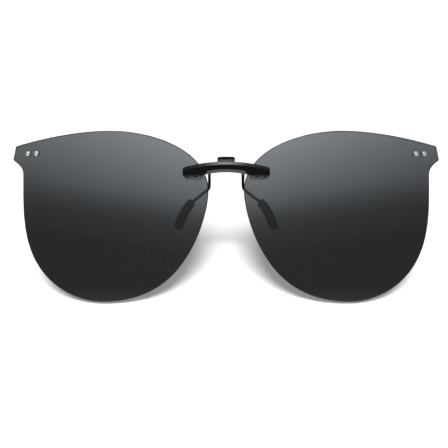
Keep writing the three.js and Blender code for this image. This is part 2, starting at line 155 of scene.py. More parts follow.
# (x, z, radius) at the start, middle and end of the wearer's left sleeve
SLEEVE_PLACES = ((11.35, -10.9, 1.22), (14.1, -14.4, 1.52), (16.6, -20.5, 1.48))
SLEEVE_GAP = 0.25
SLEEVE_BORE = WIRE_RADIUS + 0.02
SLEEVE_STEPS = 160
# How far along its sleeve a wire reaches
SLEEVE_WIRE_SHARE = 0.9
SEAM_HEIGHT = 0.05
SEAM_DEGREES = 9

# Hardware on the lenses, as (x, z) places on the wearer's left lens
RIVET_PLACES = ((64.7, 5.5), (67.6, 5.5))
SCREW_PLACES = ((10.5, -1.5), (13.1, -1.5))
SHANK_RADIUS = 0.42
HOLE_RADIUS = 0.5
HOLE_SIDES = 28
GAP = 0.06
PLATE_CENTRE = (10.95, -1.78)
PLATE_HALF_WIDTH = 3.35
PLATE_HALF_HEIGHT = 1.57
PLATE_CORNER = 1.2
PLATE_THICKNESS = 0.3


# ---- flat outlines ----

class Outline:
    """A closed outline drawn with lines and curves, kept as points no further apart than spacing."""

    def __init__(self, x, y, spacing=0.2):
        self.points = [Vector((x, y))]
        self.spacing = spacing

    def _through(self, at, length):
        steps = max(2, math.ceil(length / self.spacing))
        self.points += [at(i / steps) for i in range(1, steps + 1)]

    def line(self, x, y):
        start, end = self.points[-1], Vector((x, y))
        self._through(lambda t: start.lerp(end, t), (end - start).length)

    def quad(self, cx, cy, x, y):
        start, control, end = self.points[-1], Vector((cx, cy)), Vector((x, y))
        length = (control - start).length + (end - control).length
        self._through(lambda t: start.lerp(control, t).lerp(control.lerp(end, t), t), length)

    def cubic(self, ax, ay, bx, by, x, y):
        p, a, b, q = self.points[-1], Vector((ax, ay)), Vector((bx, by)), Vector((x, y))
        length = (a - p).length + (b - a).length + (q - b).length
        self._through(
            lambda t: (1 - t) ** 3 * p + 3 * t * (1 - t) ** 2 * a + 3 * t * t * (1 - t) * b + t ** 3 * q,
            length,
        )

    def arc(self, cx, cy, radius, start, end):
        """An arc about (cx, cy) from one angle to another, in degrees, with its first point joined on."""
        def at(t):
            angle = math.radians(start + (end - start) * t)
            return Vector((cx + radius * math.cos(angle), cy + radius * math.sin(angle)))
        self.points.append(at(0))
        self._through(at, radius * math.radians(abs(end - start)))

    def closed(self):
        """The points, without any that repeat the one before."""
        kept = []
        for p in self.points:
            if not kept or (p - kept[-1]).length > 1e-4:
                kept.append(p)
        if (kept[0] - kept[-1]).length < 1e-4:
            kept.pop()
        return kept


def inward_normals(points):
    """For each point of an outline, the direction into it, long enough to move its edges by one."""
    n = len(points)
    area = sum(points[i - 1].cross(points[i]) for i in range(n))
    turn = 1 if area > 0 else -1
    normals = []
    for i in range(n):
        before = (points[i] - points[i - 1]).normalized()
        after = (points[(i + 1) % n] - points[i]).normalized()
        first = turn * Vector((-before.y, before.x))
        both = (first + turn * Vector((-after.y, after.x))).normalized()
        normals.append(both / max(both.dot(first), 0.5))
    return normals


def inset(points, distance):
    return [p + distance * n for p, n in zip(points, inward_normals(points))]


def inside(points, x, y):
    """True if (x, y) is inside the outline."""
    found = False
    for a, b in zip(points, points[1:] + points[:1]):
        if (a.y > y) != (b.y > y) and x < a.x + (y - a.y) * (b.x - a.x) / (b.y - a.y):
            found = not found
    return found


def quad_points(start, control, end, steps, until=1.0):
    """Points along a quadratic curve, or along its first part."""
    ts = [until * i / steps for i in range(steps + 1)]
    return [start.lerp(control, t).lerp(control.lerp(end, t), t) for t in ts]


def smooth_through(points, steps):
    """A smooth line through points of any size (Catmull-Rom)."""
    points = [Vector(p) for p in points]
    ends = [2 * points[0] - points[1], *points, 2 * points[-1] - points[-2]]
    line = [points[0]]
    for a, b, c, d in zip(ends, ends[1:], ends[2:], ends[3:]):
        for i in range(1, steps + 1):
            t = i / steps
            line.append(0.5 * (2 * b + t * (c - a) + t * t * (2 * a - 5 * b + 4 * c - d)
                               + t ** 3 * (3 * b - a - 3 * c + d)))
    return line


# ---- meshes ----

def skin(rings):
    """A closed mesh over neighbouring rings of points. A ring of one point is a tip."""
    bm = bmesh.new()
    loops = [[bm.verts.new(p) for p in ring] for ring in rings]
    for a, b in zip(loops, loops[1:]):
        for i in range(max(len(a), len(b))):
            if len(a) == 1:
                bm.faces.new((a[0], b[(i + 1) % len(b)], b[i]))
            elif len(b) == 1:
                bm.faces.new((a[i], a[(i + 1) % len(a)], b[0]))
            else:
                j = (i + 1) % len(a)
                bm.faces.new((a[i], a[j], b[j], b[i]))
    for ring in (loops[0], loops[-1]):
        if len(ring) > 2:
            bm.faces.new(ring)
    return bm


def object_of(bm, name="part"):
    """An object, still in millimetres, of a closed mesh."""
    bmesh.ops.recalc_face_normals(bm, faces=bm.faces)
    mesh = bpy.data.meshes.new(name)
    bm.to_mesh(mesh)
    bm.free()
    made = bpy.data.objects.new(name, mesh)
    scene.collection.objects.link(made)
    return made


def combine(body, operation, tools):
    """Joins tools to body ("UNION") or takes them away ("DIFFERENCE"), and deletes them."""
    for tool in tools:
        modifier = body.modifiers.new(operation, "BOOLEAN")
        modifier.operation = operation
        modifier.solver = "EXACT"
        modifier.object = tool
    bpy.context.view_layer.update()
    evaluated = body.evaluated_get(bpy.context.evaluated_depsgraph_get())
    result = bpy.data.meshes.new_from_object(evaluated)
    body.modifiers.clear()
    body.data = result
    for tool in tools:
        bpy.data.objects.remove(tool)


def along_x(u, v, w):
    return Vector((w, u, v))


def along_y(u, v, w):
    return Vector((u, w, v))


def along_z(u, v, w):
    return Vector((u, v, w))


def quarter_turn(steps):
    """Angles from 0 to 90 degrees, in radians."""
    return [math.pi / 2 * i / steps for i in range(steps + 1)]


def rounded_edge(edge, steps=4):
    """(how far in, how far along) for the rings that round an edge, from the end face to the side."""
    return [(edge * (1 - math.sin(a)), edge * (1 - math.cos(a))) for a in quarter_turn(steps)]


def prism(points, low, high, place, edge=0.0):
    """An outline swept from low to high along an axis, with its end edges rounded to the size edge."""
    if edge == 0:
        return object_of(skin([[place(p.x, p.y, w) for p in points] for w in (low, high)]))
    rings = [(pull, low + along) for pull, along in rounded_edge(edge)]
    rings += [(pull, low + high - w) for pull, w in reversed(rings)]
    return object_of(skin([[place(p.x, p.y, w) for p in inset(points, pull)] for pull, w in rings]))


def lathe_mesh(profile, sides=40):
    """A profile of (radius, height) points turned about the Y axis."""
    angles = [2 * math.pi * i / sides for i in range(sides)]
    rings = []
    for radius, y in profile:
        if radius < 1e-6:
            rings.append([Vector((0, y, 0))])
            continue
        rings.append([Vector((radius * math.cos(a), y, radius * math.sin(a))) for a in angles])
    return skin(rings)


def rod(radius, start, end, edge=0.0, sides=40):
    """A cylinder between two points, with rounded ends."""
    axis = Vector(end) - Vector(start)
    profile = [(radius - pull, along) for pull, along in rounded_edge(edge)] if edge else [(radius, 0)]
    profile += [(r, axis.length - y) for r, y in reversed(profile)]
    bm = lathe_mesh(profile, sides)
    bm.transform(Matrix.Translation(start) @ axis.to_track_quat("Y", "Z").to_matrix().to_4x4())
    return object_of(bm)


def hinge_rod(radius, x0, x1, edge=0.0, sides=56):
    """A cylinder on the hinge's axis."""
    low, high = min(x0, x1), max(x0, x1)
    return rod(radius, Vector((low, PIVOT_Y, PIVOT_Z)), Vector((high, PIVOT_Y, PIVOT_Z)), edge, sides)


def block(x0, x1, y0, y1, z0, z1):
    bm = bmesh.new()
    bmesh.ops.create_cube(bm, size=1)
    middle = Vector(((x0 + x1) / 2, (y0 + y1) / 2, (z0 + z1) / 2))
    size = Matrix.Diagonal((abs(x1 - x0), y1 - y0, z1 - z0, 1))
    bm.transform(Matrix.Translation(middle) @ size)
    return object_of(bm)


def tube(path, radius, sides):
    """A round tube along points. Its rings turn as little as they can."""
    angles = [2 * math.pi * k / sides for k in range(sides)]
    rings = []
    side = None
    for i, p in enumerate(path):
        tangent = (path[min(i + 1, len(path) - 1)] - path[max(i - 1, 0)]).normalized()
        side = tangent.orthogonal() if side is None else side - side.dot(tangent) * tangent
        side.normalize()
        other = tangent.cross(side)
        rings.append([p + radius * (math.cos(a) * side + math.sin(a) * other) for a in angles])
    return skin(rings)


# ---- finishing a piece ----

def finished(made, node, body, materials, weighted=True):
    """Turns a millimetre object into the shown piece that stands for a CAD node."""
    made.name = f"{node}_shown"
    made.data.name = made.name
    made.data.transform(Matrix.Scale(MM, 4))
    if made.data.materials:
        # This also sets every face back to the first material
        made.data.materials.clear()
    for material in materials:
        made.data.materials.append(material)
    made.data.shade_smooth()
    made.data.set_sharp_from_angle(angle=SHARP_ANGLE)
    if weighted:
        modifier = made.modifiers.new("even shading", "WEIGHTED_NORMAL")
        modifier.keep_sharp = True
    if body:
        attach(made, body)
    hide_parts(node)
    return made


# ---- lenses ----

def lens_y(x, z, depth=0.0):
    """The lens surface's Y at a place, for the front or for a shell deeper in the lens."""
    radius = LENS_RADIUS - depth
    across = (abs(x) - LENS_APEX.x) ** 2 + (z - LENS_APEX.z) ** 2
    return LENS_APEX.y + LENS_RADIUS - math.sqrt(radius ** 2 - across)


def lens_centre(side):
    return Vector((side * LENS_APEX.x, LENS_APEX.y + LENS_RADIUS, LENS_APEX.z))


def on_lens(place, side):
    """The matrix that stands +Y straight into the lens, from its front surface."""
    x, z = place
    spot = Vector((side * x, lens_y(x, z), z))
    turn = Vector((0, 1, 0)).rotation_difference(lens_centre(side) - spot)
    return Matrix.Translation(spot) @ turn.to_matrix().to_4x4()


def lens_outline():
    """The wearer's left lens from the front."""
    shape = Outline(39.6, 13.2, LENS_SPACING)
    shape.cubic(49.3, 13.2, 61.2, 11.1, 71.4, 8.2)
    shape.quad(71.85, 8.1, 71.9, 7.65)
    shape.line(72.65, 3.75)
    shape.quad(72.75, 3.3, 72.3, 3.0)
    shape.cubic(69.2, 0.8, 69.2, -0.6, 69.2, -2.4)
    shape.line(69.2, -5.0)
    shape.cubic(69.2, -15.6, 69.1, -26.2, 62.6, -34.7)
    shape.cubic(57.7, -41.1, 49.8, -45.0, 42.0, -45.0)
    shape.cubic(32.6, -45.0, 24.1, -42.1, 17.8, -35.5)
    shape.cubic(9.6, -26.8, 6.0, -13.5, 6.0, -7.3)
    shape.cubic(6.0, 6.3, 24.2, 13.2, 39.6, 13.2)
    return shape.closed()


def lens_holes():
    """The outlines of the wearer's left lens's holes."""
    holes = []
    for x, z in RIVET_PLACES + SCREW_PLACES:
        angles = [-2 * math.pi * i / HOLE_SIDES for i in range(HOLE_SIDES)]
        holes.append([Vector((x + HOLE_RADIUS * math.cos(a), z + HOLE_RADIUS * math.sin(a))) for a in angles])
    return holes


def edge_rings():
    """(how far in from the outline, how deep) for each ring of a lens's rounded edge, front to back."""
    front = rounded_edge(LENS_EDGE, 3)
    return front + [(pull, LENS_THICKNESS - depth) for pull, depth in reversed(front)]


def face_points(outline, holes):
    """Staggered rows of points over a lens's face, clear of its edge and of its holes."""
    kept_in = inset(outline, LENS_GRID_MARGIN)
    low, high = min(p.y for p in outline), max(p.y for p in outline)
    nose, temple = min(p.x for p in outline), max(p.x for p in outline)
    points = []
    row = 0
    z = low
    while z < high:
        x = nose - 1 + (row % 2) * LENS_GRID / 2
        while x < temple:
            place = Vector((x, z))
            clear = all((place - hole[0]).length > HOLE_MARGIN for hole in holes)
            if clear and inside(kept_in, x, z):
                points.append(place)
            x += LENS_GRID
        z += LENS_ROWS
        row += 1
    return points


def meshed_face(borders, points):
    """Triangles between the first border and the others, as flat points and a list of index triples."""
    corners = [p for border in borders for p in border] + points
    edges = []
    start = 0
    for border in borders:
        n = len(border)
        edges += [(start + i, start + (i + 1) % n) for i in range(n)]
        start += n
    flat, _, faces, *_ = delaunay_2d_cdt(corners, edges, [], 0, 1e-5)
    kept = []
    for face in faces:
        middle = sum((flat[i] for i in face), Vector((0, 0))) / 3
        in_hole = any(inside(border, *middle) for border in borders[1:])
        if inside(borders[0], *middle) and not in_hole:
            kept.append(face)
    return flat, kept


def lens(side):
    """A lens with rounded, polished edges and four drilled holes. Its second material is the edge's."""
    outline, holes = lens_outline(), lens_holes()
    # Rounding moves a border in from the lens's outline, and half as far out from a hole's
    shares = [1] + [-0.5] * len(holes)
    outlines = [outline, *holes]
    borders = [inset(ring, LENS_EDGE * share) for ring, share in zip(outlines, shares)]
    flat, faces = meshed_face(borders, face_points(outline, holes))
    bm = bmesh.new()

    def vertex(p, depth):
        return bm.verts.new((side * p.x, lens_y(p.x, p.y, depth), p.y))

    sheets = [[vertex(p, depth) for p in flat] for depth in (0, LENS_THICKNESS)]
    for sheet in sheets:
        for face in faces:
            bm.faces.new([sheet[i] for i in face])
    index_of = {(round(p.x, 4), round(p.y, 4)): i for i, p in enumerate(flat)}
    for border, ring, share in zip(borders, outlines, shares):
        ids = [index_of[(round(p.x, 4), round(p.y, 4))] for p in border]
        grid = [[sheets[0][i] for i in ids]]
        grid += [[vertex(p, depth) for p in inset(ring, pull * share)] for pull, depth in edge_rings()[1:-1]]
        grid.append([sheets[1][i] for i in ids])
        for a, b in zip(grid, grid[1:]):
            for i in range(len(a)):
                j = (i + 1) % len(a)
                bm.faces.new((a[i], a[j], b[j], b[i])).material_index = 1
    bmesh.ops.delete(bm, geom=[v for v in bm.verts if not v.link_faces], context="VERTS")
    return object_of(bm)


def true_lens_normals(made, side):
    """Gives a finished lens's two faces the exact normals of their spheres, so that it reflects cleanly."""
    centre = lens_centre(side) * MM
    mesh = made.data
    normals = [Vector((0, 0, 0))] * len(mesh.loops)
    for polygon in mesh.polygons:
        if polygon.material_index == 1:
            continue
        for i in polygon.loop_indices:
            outward = (mesh.vertices[mesh.loops[i].vertex_index].co - centre).normalized()
            normals[i] = outward if outward.dot(polygon.normal) > 0 else -outward
    mesh.normals_split_custom_set(normals)


# ---- bridge bar ----

def arc_z(crown, radius, x):
    """The height of an arc at x, from its crown."""
    return crown - radius + math.sqrt(radius ** 2 - x ** 2)


def clamped(t):
    return min(max(t, 0), 1)


def quarter(t):
    """How far a round corner has pulled in, from 0 at its start to 1 at its end."""
    return 1 - math.sqrt(1 - clamped(t) ** 2)


def underside_z(x):
    """The bar's underside: an arc between the end blocks, a short slope down, then along each block."""
    x = abs(x)
    if x <= BLOCK_INNER:
        return arc_z(BAR_BOTTOM, BAR_BOTTOM_RADIUS, x)
    inner = arc_z(BAR_BOTTOM, BAR_BOTTOM_RADIUS, BLOCK_INNER)
    if x <= BLOCK_FULL:
        return inner + (BLOCK_BOTTOM[0] - inner) * (x - BLOCK_INNER) / (BLOCK_FULL - BLOCK_INNER)
    t = (x - BLOCK_FULL) / (BAR_HALF - BAR_CORNER - BLOCK_FULL)
    return BLOCK_BOTTOM[0] + (BLOCK_BOTTOM[1] - BLOCK_BOTTOM[0]) * min(t, 1)


def round_corner(before, corner, after, size):
    """Points round a corner that starts and ends at most size away from it."""
    start = corner + (before - corner).normalized() * min(size, (before - corner).length / 2)
    end = corner + (after - corner).normalized() * min(size, (after - corner).length / 2)
    return quad_points(start, corner, end, 3)


def bar_section(x):
    """The bar's section at x, from the top of its back round the front to the bottom of its back."""
    reach = abs(x)
    end = quarter((reach - BAR_HALF + BAR_CORNER) / BAR_CORNER)
    nose = quarter((reach - BAR_HALF + BAR_NOSE) / BAR_NOSE)
    top = arc_z(BAR_TOP, BAR_TOP_RADIUS, min(reach, BAR_HALF)) - BAR_CORNER * end
    bottom = underside_z(x) + BAR_CORNER * end
    front = BAR_FRONT + BAR_NOSE * nose
    narrowing = quarter((reach - LENS_POCKET_X + CHAMFER_FADE) / CHAMFER_FADE)
    under = UNDER_CHAMFER + (BLOCK_CHAMFER - UNDER_CHAMFER) * narrowing
    corners = [
        Vector((front + TOP_CHAMFER, top)),
        Vector((front, top - TOP_CHAMFER)),
        Vector((front, bottom + under)),
        Vector((front + under, bottom)),
    ]
    ends = [Vector((BAR_BACK, top)), *corners, Vector((BAR_BACK, bottom))]
    section = [ends[0]]
    for before, corner, after in zip(ends, ends[1:], ends[2:]):
        section += round_corner(before, corner, after, BAR_ROUNDING)
    section.append(ends[-1])
    return section


def bar_stations():
    """Where the bar is measured across: finely where its shape changes quickly."""
    fade_start = LENS_POCKET_X - CHAMFER_FADE
    half = [i * 0.45 for i in range(14)]
    half += [fade_start + 0.07 * i for i in range(17)]
    half += [BLOCK_INNER, BLOCK_FULL]
    half += [BLOCK_FULL - 0.35 + 0.5 * i for i in range(14)]
    half += [BAR_HALF - BAR_CORNER * math.cos(a) for a in quarter_turn(12)]
    return sorted({round(x, 4) for x in half} | {-round(x, 4) for x in half})


def lens_pocket(side):
    """The space that a lens and its clearance take out of the bar's back."""
    outer, half_height, back = 20, 6, 6
    xs = [LENS_POCKET_X + (outer - LENS_POCKET_X) * i / 26 for i in range(27)]
    zs = [half_height * (i / 12 - 1) for i in range(25)]
    rings = []
    for x in xs:
        front = [Vector((side * x, lens_y(x, z, -GAP / 3), z)) for z in zs]
        rings.append(front + [Vector((p.x, back, p.z)) for p in reversed(front)])
    return object_of(skin(rings))


def hinge_lug(side):
    """A lug on the bar's back, with a round end about the pin."""
    profile = Outline(-1, PIVOT_Z - KNUCKLE_RADIUS)
    profile.arc(PIVOT_Y, PIVOT_Z, KNUCKLE_RADIUS, -90, 90)
    profile.line(-1, PIVOT_Z + KNUCKLE_RADIUS)
    low, high = sorted((side * LUG_INNER, side * LUG_OUTER))
    return prism(profile.closed(), low, high, along_x, edge=0.12)


def behind_bar():
    """All the space behind the bar's back, with the seat standing proud of the rest."""
    profile = Outline(0, -5, 20)
    for y, z in ((8, -5), (8, 5), (-SEAT_PROUD, 5), (-SEAT_PROUD, SEAT_TOP), (0, SEAT_TOP)):
        profile.line(y, z)
    return prism(profile.closed(), -20, 20, along_x)


def drill(place, side, start, end, sides=HOLE_SIDES):
    """A screw hole's cutter, square to the lens, between two depths from its front surface."""
    into = on_lens(place, side)
    return rod(HOLE_RADIUS, into @ Vector((0, start, 0)), into @ Vector((0, end, 0)), sides=sides)


def bridge_bar():
    """The bar with its bosses, seat and lugs, with room for the lenses and holes for what goes in it."""
    bar = object_of(skin([[along_x(p.x, p.y, x) for p in bar_section(x)] for x in bar_stations()]))
    bosses = []
    holes = [hinge_rod(PIN_RADIUS + GAP, -LUG_OUTER - 1, LUG_OUTER + 1)]
    for _, side in SIDES:
        for x, z in SCREW_PLACES:
            bosses.append(rod(BOSS_RADIUS, Vector((side * x, BOSS_FRONT, z)), Vector((side * x, 0, z)), 0.08))
            holes.append(drill((x, z), side, -BOSS_BORE_DEPTH, 1))
    leg_end = spring_point(0, -SPRING_LEG - 0.1, -SPRING_COIL)
    holes.append(rod(SPRING_WIRE + CLEARANCE, leg_end, spring_point(0, 0, -SPRING_COIL), sides=20))
    lugs = [hinge_lug(side) for _, side in SIDES]
    pockets = [lens_pocket(side) for _, side in SIDES]
    combine(bar, "UNION", bosses)
    combine(bar, "DIFFERENCE", [behind_bar(), *pockets])
    combine(bar, "UNION", lugs)
    combine(bar, "DIFFERENCE", holes)
    return bar


# ---- clamp lever ----

def tab_profile():
    """The tab and root from the side, in Y and Z from the hinge's axis, with its top edges rounded."""
    top = TAB_TOP - PIVOT_Z
    shape = Outline(-0.9, 0.1, 0.12)
    shape.quad(-1.3, 1.3, -0.9, TAB_FOOT)
    shape.quad(-0.27, 1.58, -0.02, top - 0.25)
    shape.quad(0.03, top, 0.27, top)
    shape.line(0.52, top)
    shape.quad(0.79, top, 0.78, top - 0.28)
    shape.quad(1.3, 1.1, 2.3, YOKE_HALF_HEIGHT)
    shape.line(2.3, -YOKE_HALF_HEIGHT)
    shape.line(0.4, -0.85)
    shape.line(-0.9, 0.1)
    return shape.closed()


def finger_tab():
    """The tab, crowned along its top, with round corners and edges. It narrows a little toward the bar."""
    profile = tab_profile()
    inner = TAB_HALF - TAB_CORNER
    half = [inner * i / 8 for i in range(9)]
    half += [inner + TAB_CORNER * math.sin(a) for a in quarter_turn(10)[1:]]
    stations = [-x for x in reversed(half[1:])] + half
    top = TAB_TOP - PIVOT_Z
    rings = []
    for x in stations:
        reach = abs(x)
        crown = TAB_CROWN * (reach / TAB_HALF) ** 2
        fall = crown + TAB_CORNER * quarter((reach - inner) / TAB_CORNER)
        pull = TAB_EDGE * quarter((reach - TAB_HALF + TAB_EDGE) / TAB_EDGE)
        ring = []
        for p in inset(profile, pull):
            share = clamped((p.y - TAB_FOOT) / (top - TAB_FOOT))
            taper = 1 - TAB_TAPER * (1 - clamped((p.y - TAB_TAPER_FOOT) / (top - TAB_TAPER_FOOT)))
            ring.append(Vector((x * taper, PIVOT_Y + p.x, PIVOT_Z + p.y - fall * share)))
        rings.append(ring)
    return object_of(skin(rings))


def yoke():
    """The yoke from above: it reaches back past the lugs and widens into the bar that holds the wires."""
    neck = BARREL_HALF - 0.3
    root = PIVOT_Y + 0.2
    r = (YOKE_BACK - YOKE_BAR_FRONT) / 2
    middle = (YOKE_BACK + YOKE_BAR_FRONT) / 2
    shape = Outline(-neck, root)
    shape.line(neck, root)
    shape.line(neck, YOKE_BAR_FRONT - YOKE_FILLET)
    shape.quad(neck, YOKE_BAR_FRONT, neck + YOKE_FILLET, YOKE_BAR_FRONT)
    shape.arc(YOKE_HALF - r, middle, r, -90, 90)
    shape.arc(-YOKE_HALF + r, middle, r, 90, 270)
    shape.line(-neck - YOKE_FILLET, YOKE_BAR_FRONT)
    shape.quad(-neck, YOKE_BAR_FRONT, -neck, YOKE_BAR_FRONT - YOKE_FILLET)
    low, high = PIVOT_Z - YOKE_HALF_HEIGHT, PIVOT_Z + YOKE_HALF_HEIGHT
    return prism(shape.closed(), low, high, along_z, edge=0.22)


def clamp_lever():
    """The tab, barrels and yoke in one, with its pin hole, spring bay and sockets."""
    lever = finger_tab()
    barrels = hinge_rod(KNUCKLE_RADIUS, -BARREL_HALF, BARREL_HALF, 0.12)
    combine(lever, "UNION", [barrels, yoke()])
    cuts = [
        hinge_rod(PIN_RADIUS + CLEARANCE, -BARREL_HALF - 1, BARREL_HALF + 1),
        hinge_rod(SPRING_BAY_RADIUS, -SPRING_BAY_HALF, SPRING_BAY_HALF),
        rod(SPRING_WIRE + CLEARANCE, spring_leg_back(0.6), spring_leg_back(SPRING_LEG + 0.15), sides=20),
    ]
    for _, side in SIDES:
        x = side * WIRE_X
        top = WIRE_TOP + CLEARANCE
        cuts.append(rod(WIRE_RADIUS + CLEARANCE, Vector((x, WIRE_Y, 0)), Vector((x, WIRE_Y, top)), sides=28))
    combine(lever, "DIFFERENCE", cuts)
    return lever


# ---- hinge pin and spring ----

def hinge_pin():
    """A steel pin with a domed head pressed on each end."""
    start = LUG_OUTER + GAP
    out = start + PIN_HEAD_LENGTH
    rim = PIN_HEAD_RADIUS
    half = [
        (0, out), (0.3, out - 0.02), (0.6, out - 0.1), (rim - 0.04, out - 0.2), (rim, out - 0.28),
        (rim, start + 0.03), (rim - 0.05, start), (PIN_RADIUS, start),
    ]
    bm = lathe_mesh(half + [(r, -y) for r, y in reversed(half)], 48)
    turn = Matrix.Rotation(-math.pi / 2, 4, "Z")
    bm.transform(Matrix.Translation((0, PIVOT_Y, PIVOT_Z)) @ turn)
    return object_of(bm)


def spring_point(turn, y, z):
    """A point of the spring: turns along its coil, then Y and Z from the hinge's axis."""
    x = (turn - SPRING_TURNS / 2) * SPRING_PITCH
    return Vector((x, PIVOT_Y + y, PIVOT_Z + z))


def spring_leg_back(distance):
    """A point on the rear leg, at a distance from where it leaves the coil."""
    a = SPRING_LAST_ANGLE
    y = SPRING_COIL * math.sin(a) + distance * math.cos(a)
    z = -SPRING_COIL * math.cos(a) + distance * math.sin(a)
    return spring_point(SPRING_TURNS, y, z)


def torsion_spring():
    """The front leg, the coil and the rear leg, as one wire."""
    whole = SPRING_TURNS * 2 * math.pi + SPRING_LAST_ANGLE
    steps = 36 * SPRING_TURNS
    path = [spring_point(0, -SPRING_LEG * (1 - i / 12), -SPRING_COIL) for i in range(12)]
    for i in range(steps + 1):
        a = whole * i / steps
        y, z = SPRING_COIL * math.sin(a), -SPRING_COIL * math.cos(a)
        path.append(spring_point(SPRING_TURNS * i / steps, y, z))
    path += [spring_leg_back(SPRING_LEG * i / 12) for i in range(1, 13)]
    return object_of(tube(path, SPRING_WIRE, 16))


# ---- wire arms and rubber sleeves ----

def sleeve_curve(side):
    """The three points of a sleeve's quadratic middle line, which bends downward close behind the lens."""
    start, middle, end = [
        Vector((side * x, lens_y(x, z, LENS_THICKNESS) + radius + SLEEVE_GAP, z))
        for x, z, radius in SLEEVE_PLACES
    ]
    return start, 2 * middle - 0.5 * start - 0.5 * end, end


def bent_path(points, bend):
    """Straight stretches joined by bends that start and end a given distance from each corner."""
    path = [points[0]]
    for before, corner, after in zip(points, points[1:], points[2:]):
        start = corner + (before - corner).normalized() * bend
        end = corner + (after - corner).normalized() * bend
        path += quad_points(start, corner, end, 14)
    path.append(points[-1])
    return path


def wire_arm(side):
    """A wire from the yoke straight down, across behind the lens, and on inside its sleeve."""
    start, control, end = sleeve_curve(side)
    entry = start + (start - control).normalized() * 1.2
    knee = Vector((side * WIRE_X, WIRE_Y, WIRE_KNEE))
    top = Vector((side * WIRE_X, WIRE_Y, WIRE_TOP))
    path = bent_path([top, knee, entry, start], WIRE_BEND)
    path += quad_points(start, control, end, 24, SLEEVE_WIRE_SHARE)[1:]
    return object_of(tube(path, WIRE_RADIUS, 24))


def sleeve_profile(length):
    """(radius, distance along) from the bore's end, out round the lip and along the spindle to its tip."""
    start_r, mid_r, end_r = [radius for _, _, radius in SLEEVE_PLACES]
    deep = SLEEVE_WIRE_SHARE * length + 0.3
    bore = [(0, deep), (SLEEVE_BORE, deep), (SLEEVE_BORE, 0.1), (SLEEVE_BORE + 0.06, 0.02)]
    body = smooth_through([
        (start_r + 0.12, 0.34), (start_r + 0.2, 0.09 * length), (1.49, 0.24 * length), (mid_r, 0.5 * length),
        (1.56, 0.75 * length), (end_r, length - end_r),
    ], 8)
    lip = [(1.05, 0.0), (1.2, 0.04), (1.28, 0.12), (1.32, 0.22)]
    profile = bore + lip + [tuple(p) for p in body]
    for a in quarter_turn(12)[1:]:
        profile.append((max(end_r * math.cos(a), 0), length - end_r + end_r * math.sin(a)))
    return profile


def with_seam(out):
    """A place across the sleeve, moved out a little if it is on the moulding line down either side."""
    if out.length <= SLEEVE_BORE + 0.3:
        return out
    off_seam = math.degrees(math.atan2(abs(out.y), abs(out.x)))
    ridge = SEAM_HEIGHT * max(0, 1 - off_seam / SEAM_DEGREES)
    return out * (1 + ridge / out.length)


def rubber_sleeve(side):
    """A spindle with a soft lip round the wire, a round end and a moulding line down each side."""
    line = quad_points(*sleeve_curve(side), SLEEVE_STEPS)
    lengths = [0.0]
    for a, b in zip(line, line[1:]):
        lengths.append(lengths[-1] + (b - a).length)
    length = lengths[-1]
    bm = lathe_mesh(sleeve_profile(length), 48)
    for v in bm.verts:
        along = min(max(v.co.y, 0), length)
        i = min(bisect.bisect_right(lengths, along), SLEEVE_STEPS) - 1
        share = (along - lengths[i]) / (lengths[i + 1] - lengths[i])
        point = line[i].lerp(line[i + 1], share)
        tangent = (line[min(i + 2, SLEEVE_STEPS)] - line[max(i - 1, 0)]).normalized()
        back = tangent.cross(Vector((1, 0, 0))).normalized()
        out = with_seam(Vector((v.co.x, v.co.z)))
        v.co = point + tangent.cross(back) * out.x + back * out.y
    return object_of(bm)


# ---- hardware, drawn with +Y going into the lens and 0 at its front surface ----

def temple_rivet():
    """A silver stud with a dimpled, domed head in front of the lens."""
    head = smooth_through([
        (0.0, -0.22), (0.13, -0.225), (0.27, -0.36), (0.42, -0.46), (0.6, -0.42), (0.76, -0.29),
        (0.84, -0.13),
    ], 5)
    shank = [(0.85, -0.03), (0.8, -0.01), (SHANK_RADIUS, -0.01)]
    end = LENS_THICKNESS + 0.42
    return object_of(lathe_mesh([*head, *shank, (SHANK_RADIUS, end), (0, end)], 48))


def rivet_cap():
    """The cap pressed on a rivet's end behind the lens."""
    face = LENS_THICKNESS + 0.01
    bottom = LENS_THICKNESS + 0.46
    bore_radius = HOLE_RADIUS - 0.04
    bore = [(0, bottom), (bore_radius, bottom), (bore_radius, face)]
    dome = smooth_through([(0.85, face + 0.26), (0.77, face + 0.46), (0.5, face + 0.58), (0, face + 0.62)], 6)
    return object_of(lathe_mesh([*bore, (0.8, face), (0.85, face + 0.05), *dome], 48))


def backing_plate(side):
    """A flat nylon plate with soft edges behind a lens, under the heads of its two screws. Seen through the
    lens, its smoke grey makes a darker band just below the bar's end block.
    """
    w, h, c = PLATE_HALF_WIDTH, PLATE_HALF_HEIGHT, PLATE_CORNER
    outline = Outline(w, h - c, 0.15)
    for i, (x, z) in enumerate(((w - c, h - c), (c - w, h - c), (c - w, c - h), (w - c, c - h))):
        outline.arc(x, z, c, 90 * i, 90 * i + 90)
    face = LENS_THICKNESS + GAP
    plate = prism(outline.closed(), face, face + PLATE_THICKNESS, along_y, edge=0.06)
    plate.data.transform(on_lens(PLATE_CENTRE, side))
    start, end = LENS_THICKNESS, LENS_THICKNESS + 1
    combine(plate, "DIFFERENCE", [drill(place, side, start, end, 40) for place in SCREW_PLACES])
    return plate


def lens_screw():
    """A slotted screw, from behind the lens into a boss of the bar."""
    seat = LENS_THICKNESS + GAP + PLATE_THICKNESS + 0.02
    shank = [(0, -0.95), (0.3, -0.95), (SHANK_RADIUS, -0.8), (SHANK_RADIUS, seat)]
    rim = [(0.97, seat), (1.0, seat + 0.03), (1.0, seat + 0.26)]
    dome = smooth_through([(0.97, seat + 0.34), (0.75, seat + 0.5), (0.4, seat + 0.59), (0, seat + 0.62)], 5)
    made = object_of(lathe_mesh([*shank, *rim, *dome], 48))
    combine(made, "DIFFERENCE", [block(-1.2, 1.2, seat + 0.3, seat + 1, -0.14, 0.14)])
    return made


# ---- materials ----

